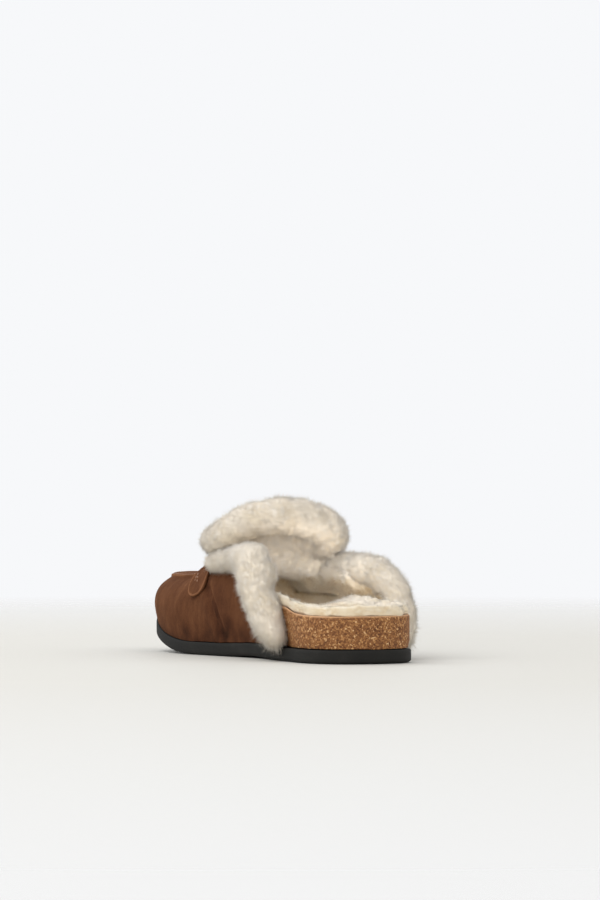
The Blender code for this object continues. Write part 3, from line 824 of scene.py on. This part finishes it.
def hairs(name, base, pile, trees, weight, lit):
    """Fine closed hairs over a base as one mesh, each lit as the pile it stands in."""
    random = np.random.default_rng(pile.seed)
    roots, facing, lighting = roots_on(base, pile.count, random, weight, lit)
    crowns, middles = lock_pattern(roots, pile)
    inward = middles - roots
    inward -= facing * dots(inward, facing)[:, None]
    flow = np.array([noise.noise_vector(Vector(root) / FLOW_SIZE) for root in roots])
    hang = soft_step((HANG_FROM - roots[:, 2]) / HANG_RUN)
    lean = FLOW_LEAN * flow + STRAY_LEAN * random.normal(size=roots.shape)
    lean[:, 2] -= HANG_LEAN * hang
    way = unit(facing + lean)
    length = pile.length * random.uniform(*HAIR_LENGTHS, len(roots))
    length = length * (PARTED_LENGTH + CROWN_LENGTH * crowns) * (1 + hang)
    length *= np.where(random.uniform(size=len(roots)) < STRAY_SHARE, STRAY_LENGTH, 1.0)
    tips = roots + way * length[:, None] + inward * pile.gather
    tips[:, 2] = np.maximum(tips[:, 2], FLOOR_CLEAR)
    room = clear_of(trees, roots, tips)
    fits = room > HAIR_LEAST
    roots, facing, lighting, tips, room, crowns = (
        part[fits] for part in (roots, facing, lighting, tips, room, crowns))
    tips = roots + (tips - roots) * room[:, None]
    run = tips - roots
    beside = unit(np.cross(run, random.normal(size=run.shape)))
    across = unit(np.cross(run, beside))
    corners = []
    for angle in HAIR_TURNS:
        out = beside * math.cos(angle) + across * math.sin(angle)
        corners.append(roots - facing * ROOT_DEPTH + out * pile.thick)
    count = len(roots)
    start = (np.arange(count) * 4)[:, None]
    faces = np.concatenate([start + np.array(face) for face in HAIR_FACES])
    mesh = bpy.data.meshes.new(name)
    mesh.from_pydata(np.stack(corners + [tips], axis=1).reshape(-1, 3), [], faces.tolist())
    # painted shade for hairs in the partings, times a random tone of each hair
    shade = (PARTED_SHADE + CROWN_SHADE * crowns) * random.uniform(*HAIR_SHADES, count)
    paint(mesh, "tint_and_painted_shade", np.outer(shade, (ROOT_TINT, ROOT_TINT, ROOT_TINT, TIP_TINT)).reshape(-1))
    mesh.shade_smooth()
    return in_scene(name, mesh), np.repeat(lighting, 4, axis=0)


def all_over(middle, facing):
    """The same weight of hair everywhere."""
    return 1.0


def grow(base, pile, trees, weight=all_over):
    """Part the base into locks, and join it and the hairs grown on it into one piece."""
    tuft(base, pile)
    lit = normals_of(base.data)
    lit = unit(lit * (1 - CALM_SHARE) + calmed(base.data, lit) * CALM_SHARE)
    made, lighting = hairs(base.name + "_hairs", base, pile, trees, weight, lit)
    lit = np.concatenate([lit, lighting])
    only(base)
    made.select_set(True)
    bpy.ops.object.join()
    base.data.normals_split_custom_set_from_vertices(lit.tolist())
    return base


ROLL_VOXEL = 0.85 * MM
ROLL_CLOSE = 2.6 * MM
ROLL_SINK = 0.6 * MM
ROLL_EASING, ROLL_LAST_EASING = 4, 12
ROLL_LUMPS = (0.7 * MM, 12 * MM)
ROLL_LOCKS = (0.3 * MM, 4 * MM)
Tuft = namedtuple("Tuft", "x y z height width")
MEDIAL_TUFTS = [Tuft(46, -31, 51, 5.0, 8.0), Tuft(35, -33, 64, 3.0, 7.0), Tuft(60, -36, 32, 1.5, 6.0)]
MEDIAL_PILE = Pile(34000, 2.6 * MM, 0.085 * MM, 5.5 * MM, 0.7 * MM, 0.16, 21)
LATERAL_PILE = Pile(34000, 2.6 * MM, 0.085 * MM, 5.5 * MM, 0.6 * MM, 0.10, 22)
LATERAL_SINK, LATERAL_RISE = 1.3 * MM, 2.0 * MM
TONGUE_PILE = Pile(38000, 2.6 * MM, 0.085 * MM, 6.0 * MM, 0.5 * MM, 0.08, 23)


def wool_roll(node, name, pile, outer_sink=0.0, inner_rise=0.0, tufts=()):
    """Soft lumpy core of a roll, its slots closed by the pile, with hairs grown on it.

    The outer side can be sunk and the inner side raised, and single tufts stand out.
    """
    base = copy_of(node, name)
    base.data.remesh_voxel_size = ROLL_VOXEL
    bpy.ops.object.voxel_remesh()
    for push in (ROLL_CLOSE, -ROLL_CLOSE - ROLL_SINK):
        apply(base, "SMOOTH", factor=0.5, iterations=ROLL_EASING)
        apply(base, "DISPLACE", strength=push, mid_level=0.0)
        only(base)
        bpy.ops.object.voxel_remesh()
    apply(base, "SMOOTH", factor=0.5, iterations=ROLL_LAST_EASING)
    places, normals = points_of(base.data), normals_of(base.data)
    rise = inner_rise * np.clip(-normals[:, 1], 0.0, 1.0) - outer_sink * np.clip(normals[:, 1], 0.0, 1.0)
    place(base.data, places + normals * rise[:, None])
    swell(base, *ROLL_LUMPS, pile.seed)
    swell(base, *ROLL_LOCKS, pile.seed + 1)
    for lock in tufts:
        places, normals = points_of(base.data), normals_of(base.data)
        gap = np.linalg.norm(places - np.array(lock[:3]) * MM, axis=1)
        rise = lock.height * MM * np.exp(-(gap / (lock.width * MM)) ** 2)
        place(base.data, places + normals * rise[:, None])
    grow(base, pile, hard_trees())
    return keep(base, WOOL, "shearling", node)


# Painted shade inside the shoe: on the insole's bed and the outer sides of its rims, and on the lining below
# the collar
BED_MARGIN = 6 * MM
BED_RUN = 7 * MM
INNER_SHADE = 0.46
RIM_SHARE = 0.62
RIM_WIDTH = 4 * MM
WALL_LOW = 48 * MM
WALL_FALL = 0.06
WALL_RUN = 5 * MM
WALL_WANDER = 4 * MM
WALL_PATCH = 9 * MM


def paint_inner_shade(piece, share):
    """Deepen the colour of fleece by a share, as painted shade of the inside of the shoe."""
    tint_and_painted_shade = piece.data.attributes["tint_and_painted_shade"].data
    level = np.empty(len(tint_and_painted_shade))
    tint_and_painted_shade.foreach_get("value", level)
    tint_and_painted_shade.foreach_set("value", level - INNER_SHADE * soft_step(share))


def low_wall(piece):
    """How far below the thick pile of the collar each place of the lining lies, which sets how much painted
    shade it gets.
    """
    places = points_of(piece.data)
    wander = np.array([noise.noise(Vector(spot) / WALL_PATCH) for spot in places]) * WALL_WANDER
    level = WALL_LOW - WALL_FALL * np.maximum(places[:, 0], 0.0)
    return (level + wander - places[:, 2]) / WALL_RUN


def insole_shade(piece, rims):
    """How much painted shade each place of the insole gets: most inside its rims, and a little on their outer
    sides.
    """
    near = KDTree(len(rims))
    for i, spot in enumerate(rims):
        near.insert(spot, i)
    near.balance()
    gaps = np.array([near.find(spot)[2] for spot in points_of(piece.data)])
    return np.maximum((gaps - BED_MARGIN) / BED_RUN, RIM_SHARE * (1 - gaps / RIM_WIDTH))


LINING_AXIS = (-3 * MM, 26 * MM)
LINING_TOE = -88 * MM
LINING_LOW = 27 * MM
LINING_REAR = -10 * MM
LINING_FOOT = 32 * MM
LINING_TONGUE = 28 * MM
LINING_TOP = 46 * MM
LINING_EDGE = -0.3
LINING_UNDER = -0.75
LINING_HAIRS = -0.2
LINING_LIFT = 0.2 * MM
LINING_THICK = 2.0 * MM
LINING_EASING = 5
LINING_LUMPS = (0.45 * MM, 9 * MM, 6.0)
LINING_PILE = Pile(26000, 2.8 * MM, 0.12 * MM, 5.0 * MM, 0.7 * MM, 0.14, 12)
THROAT_FRONT = -66 * MM
FULL_SIDE = 18 * MM
FULL_FRONT = -30 * MM
FULL_RUN = 10 * MM
FULL_REAR = 24 * MM
FULL_LOW = 39 * MM
FULL_RISE_RUN = 6 * MM
FULL_RISE = 1.8 * MM
FULL_SINK = 1.5 * MM


def lining_core(middle):
    """Points on the middle line of the shoe that the lining looks at."""
    core = np.empty_like(middle)
    core[:, 0] = np.maximum(middle[:, 0], LINING_TOE)
    core[:, 1:] = LINING_AXIS
    return core


def fill_out(piece):
    """Thicken the upper part of the fleece on the outer quarter, and sink its rear end under the trim."""
    places, normals = points_of(piece.data), normals_of(piece.data)
    outer = soft_step((places[:, 1] - FULL_SIDE) / FULL_RUN) * np.clip(-normals[:, 1], 0.0, 1.0)
    upper = soft_step((places[:, 2] - FULL_LOW) / FULL_RISE_RUN)
    upper *= soft_step((places[:, 0] - FULL_FRONT) / FULL_RUN)
    behind = soft_step((places[:, 0] - FULL_REAR) / FULL_RUN)
    rise = outer * (FULL_RISE * upper * (1 - behind) - FULL_SINK * behind)
    place(piece.data, places + normals * rise[:, None])


def lining_faces(piece):
    """Faces of the shell that look inwards, without its foot and what the sole and the tongue hide."""
    middle = np.array([face.center for face in piece.data.polygons])
    facing = np.array([face.normal for face in piece.data.polygons])
    inward = dots(unit(lining_core(middle) - middle), facing)
    sunk = (middle[:, 0] > LINING_REAR) & (middle[:, 1] < 0) & (middle[:, 2] < LINING_LOW)
    foot = (facing[:, 2] < LINING_UNDER) & (middle[:, 2] < LINING_FOOT)
    over_tongue = (middle[:, 0] > THROAT_FRONT) & (middle[:, 2] > LINING_TOP)
    over_tongue &= np.abs(middle[:, 1]) < LINING_TONGUE
    return (inward > LINING_EDGE) & ~foot & ~sunk & ~over_tongue


def vamp_fleece(pile):
    """Fleece over the inner face of the vamp and quarters and round their rims."""
    piece = copy_of("upper", "vamp_lining")
    refine(piece, PLAIN_ROUNDING)
    picked = lining_faces(piece)
    mesh = bmesh.new()
    mesh.from_mesh(piece.data)
    others = [face for face, lined in zip(mesh.faces, picked) if not lined]
    bmesh.ops.delete(mesh, geom=others, context="FACES")
    mesh.to_mesh(piece.data)
    mesh.free()
    apply(piece, "DISPLACE", strength=LINING_LIFT, mid_level=0.0)
    apply(piece, "SOLIDIFY", thickness=LINING_THICK, offset=1.0)
    apply(piece, "SMOOTH", factor=0.5, iterations=LINING_EASING)
    fill_out(piece)
    swell(piece, *LINING_LUMPS)
    piece.data.shade_smooth()

    def inner_side(middle, facing):
        return (dots(unit(lining_core(middle) - middle), facing) > LINING_HAIRS) + NO_HAIR

    grow(piece, pile, hard_trees(), inner_side)
    # painted shade on the lining below the collar
    paint_inner_shade(piece, low_wall(piece))
    return keep(piece, WOOL, "shearling")


THROAT_TUCK = 0.08
THROAT_SIDE_END = -9 * MM
THROAT_TOP_END = 6 * MM
THROAT_SHARES = np.linspace(0, 1, 56)
THROAT_TURNS = np.linspace(math.radians(-8), math.radians(188), 100)
THROAT_AXIS = (-2 * MM, 42 * MM)
THROAT_REACH = 46 * MM
THROAT_CLEAR = 1.8 * MM
THROAT_SINK = 5.5 * MM
THROAT_EASING = 40
THROAT_THICK = 0.9 * MM
THROAT_HAIRS = 0.1
THROAT_PILE = Pile(22000, 3.0 * MM, 0.12 * MM, 5.0 * MM, 0.9 * MM, 0.14, 13)


def throat_reach(rows, ways):
    """How far a fleece stands from the axis of the throat on each way, eased to lie smoothly."""
    solids = [surface_tree(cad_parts[name]) for name in HARD_NODES]
    rolls = [surface_tree(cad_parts[name]) for name in FUR_NODES]
    reach = np.full(rows.shape, THROAT_REACH)
    for (i, k), x in np.ndenumerate(rows):
        axis = Vector((x, *THROAT_AXIS))
        hits = [tree.ray_cast(axis, ways[k], THROAT_REACH)[3] for tree in solids]
        sunk = [tree.ray_cast(axis, ways[k], THROAT_REACH)[3] for tree in rolls]
        hits += [hit + THROAT_SINK for hit in sunk if hit is not None]
        reach[i, k] = min([hit for hit in hits if hit is not None] + [THROAT_REACH])
    met = reach - THROAT_CLEAR
    met[THROAT_SHARES < THROAT_TUCK] += THROAT_CLEAR
    for _ in range(THROAT_EASING):
        padded = np.pad(reach, 1, mode="edge")
        reach = (padded[:-2, 1:-1] + padded[2:, 1:-1] + padded[1:-1, :-2] + padded[1:-1, 2:]) / 4
        reach = np.minimum(reach, met)
    return reach


def throat_sheet():
    """Bare sheet of the fleece under the tongue, its face turned to the foot."""
    ways = [Vector((0, math.cos(turn), math.sin(turn))) for turn in THROAT_TURNS]
    ends = THROAT_SIDE_END + (THROAT_TOP_END - THROAT_SIDE_END) * np.maximum(np.sin(THROAT_TURNS), 0.0) ** 2
    rows = THROAT_FRONT + np.outer(THROAT_SHARES, ends - THROAT_FRONT)
    reach = throat_reach(rows, ways)
    verts = []
    for (i, k), x in np.ndenumerate(rows):
        verts.append((x, THROAT_AXIS[0] + ways[k].y * reach[i, k], THROAT_AXIS[1] + ways[k].z * reach[i, k]))
    across = len(THROAT_TURNS)
    faces = []
    for i in range(len(THROAT_SHARES) - 1):
        for k in range(across - 1):
            here = i * across + k
            faces.append((here, here + 1, here + across + 1, here + across))
    mesh = bpy.data.meshes.new("throat_lining")
    mesh.from_pydata(verts, [], faces)
    piece = in_scene("throat_lining", mesh)
    only(piece)
    inward = Vector((THROAT_FRONT, *THROAT_AXIS)) - mesh.polygons[0].center
    if mesh.polygons[0].normal.dot(inward) < 0:
        bpy.ops.object.mode_set(mode="EDIT")
        bpy.ops.mesh.select_all(action="SELECT")
        bpy.ops.mesh.flip_normals()
        bpy.ops.object.mode_set(mode="OBJECT")
    return piece


def fleece_throat(pile):
    """One fleece from quarter to quarter under the tongue, which closes the gaps beside it."""
    piece = throat_sheet()
    apply(piece, "SOLIDIFY", thickness=THROAT_THICK, offset=-1.0)
    piece.data.shade_smooth()

    def inner_side(middle, facing):
        core = middle.copy()
        core[:, 1:] = THROAT_AXIS
        return (dots(unit(core - middle), facing) > THROAT_HAIRS) + NO_HAIR

    grow(piece, pile, hard_trees(), inner_side)
    # painted shade on the lining below the collar
    paint_inner_shade(piece, low_wall(piece))
    return keep(piece, WOOL, "shearling")


INSOLE_ROUNDING = Rounding(2, 50, 1.0)
INSOLE_LUMPS = (1.3 * MM, 8 * MM, 5.0)
INSOLE_FRONT = -60 * MM
INSOLE_REACH = 50 * MM
INSOLE_SPARSE = 0.15
INSOLE_SIDE = 0.5
INSOLE_PILE = Pile(26000, 1.8 * MM, 0.12 * MM, 5.0 * MM, 0.6 * MM, 0.10, 11)


def fleece_insole(pile):
    """Fleece sock with its bed and the outer sides of its rims painted darker as painted shade, its pile thin
    in the toe where it can't be seen.
    """
    base = copy_of("insole", "fleece_insole")
    refine(base, INSOLE_ROUNDING)
    swell(base, *INSOLE_LUMPS)
    base.data.shade_smooth()

    def upper_side(middle, facing):
        open_heel = np.clip((middle[:, 0] - INSOLE_FRONT) / INSOLE_REACH, INSOLE_SPARSE, 1.0)
        return np.clip(facing[:, 2] + INSOLE_SIDE, 0.0, 1.0) * open_heel + NO_HAIR

    rims = points_of(base.data)[np.abs(normals_of(base.data)[:, 2]) < INSOLE_SIDE]
    grow(base, pile, hard_trees("insole"), upper_side)
    # painted shade on the insole's bed and the outer sides of its rims
    paint_inner_shade(base, insole_shade(base, rims))
    return keep(base, WOOL, "shearling", "insole")


# Stage

DAYLIGHT = "#f8fbff"
Lamp = namedtuple("Lamp", "place aim size power spread")
LAMPS = [Lamp((-0.6, -0.9, 1.8), (0, 0, 0.03), 2.0, 19.0, 180),
         Lamp((1.2, -1.3, 0.7), (0, 0, 0.03), 1.0, 5.0, 180),
         Lamp((0.09, -0.012, 0.055), (-0.05, 0.022, 0.036), 0.03, 0.0145, 52)]
FLOOR_RADIUS = 3.0
FLOOR_SIDES = 96
FLOOR_NEAR, FLOOR_FAR = 0.35, 1.6
FLOOR_COLOUR = "#d3d0c8"
ROOM_COLOUR = "#f7f8fa"


def studio():
    """Pale floor that fades into a white room, with a soft light, a fill and a faint one in the opening."""
    bpy.ops.object.select_all(action="DESELECT")
    bpy.ops.mesh.primitive_circle_add(vertices=FLOOR_SIDES, radius=FLOOR_RADIUS, fill_type="TRIFAN",
                                      location=(0, 0, 0))
    floor = bpy.context.active_object
    floor.name = "floor"
    made, tree, shader = new_material("pale_floor")
    spot = add(tree, "TexCoord").outputs["Object"]
    far = add(tree, "VectorMath", {0: spot}, operation="LENGTH")
    fade = add(tree, "MapRange", {"Value": far.outputs["Value"], "From Min": FLOOR_NEAR,
                                  "From Max": FLOOR_FAR})
    clear = add(tree, "BsdfTransparent")
    mix = add(tree, "MixShader", {0: fade.outputs["Result"], 1: shader.outputs[0], 2: clear.outputs[0]})
    tree.links.new(mix.outputs[0], tree.nodes["Material Output"].inputs["Surface"])
    set_shader(shader, Base_Color=linear(FLOOR_COLOUR), Roughness=0.6, Specular_IOR_Level=0.2)
    floor.data.materials.append(made)
    room = bpy.data.worlds.new("white_room")
    room.use_nodes = True
    back = room.node_tree.nodes["Background"]
    back.inputs["Color"].default_value = linear(ROOM_COLOUR)
    back.inputs["Strength"].default_value = 1.0
    bpy.context.scene.world = room
    for lamp in LAMPS:
        bpy.ops.object.light_add(type="AREA", location=lamp.place)
        light = bpy.context.active_object
        light.data.energy = lamp.power
        light.data.size = lamp.size
        light.data.color = linear(DAYLIGHT)[:3]
        light.data.spread = math.radians(lamp.spread)
        light.visible_camera = False
        light.rotation_euler = (Vector(lamp.aim) - light.location).to_track_quat("-Z", "Y").to_euler()


VIEW_ANGLE = math.radians(66)
VIEW_DISTANCE = 1.9
EYE_HEIGHT = 79.4 * MM
FRAME_HEIGHT = 900
PIXELS_PER_MM = 1.645
SENSOR = 36.0
SHIFT_RIGHT, SHIFT_UP = 12, 75


def camera():
    """The photograph's level view from behind the inner side."""
    seat = (VIEW_DISTANCE * math.sin(VIEW_ANGLE), -VIEW_DISTANCE * math.cos(VIEW_ANGLE), EYE_HEIGHT)
    bpy.ops.object.camera_add(location=seat, rotation=(math.pi / 2, 0, VIEW_ANGLE))
    made = bpy.context.active_object
    made.data.sensor_fit = "VERTICAL"
    made.data.sensor_height = SENSOR
    made.data.lens = PIXELS_PER_MM * VIEW_DISTANCE / MM * SENSOR / FRAME_HEIGHT
    made.data.shift_x = SHIFT_RIGHT / FRAME_HEIGHT
    made.data.shift_y = SHIFT_UP / FRAME_HEIGHT
    bpy.context.scene.camera = made


SUEDE = napped_suede()
WOOL = shearling_wool()
CORK = pressed_cork()
RUBBER = foam_rubber()
THREAD = waxed_thread()

foam_outsole()
cork_footbed()
fleece_insole(INSOLE_PILE)
suede_upper()
suede_strap()
suede_tongue()
vamp_fleece(LINING_PILE)
fleece_throat(THROAT_PILE)
wool_roll("fur_trim_medial", "trim_wool_medial", MEDIAL_PILE, tufts=MEDIAL_TUFTS)
wool_roll("fur_trim_lateral", "trim_wool_lateral", LATERAL_PILE, LATERAL_SINK, LATERAL_RISE)
wool_roll("tongue_fur", "tongue_wool", TONGUE_PILE)
studio()
camera()

bpy.context.scene.view_settings.view_transform = "Standard"
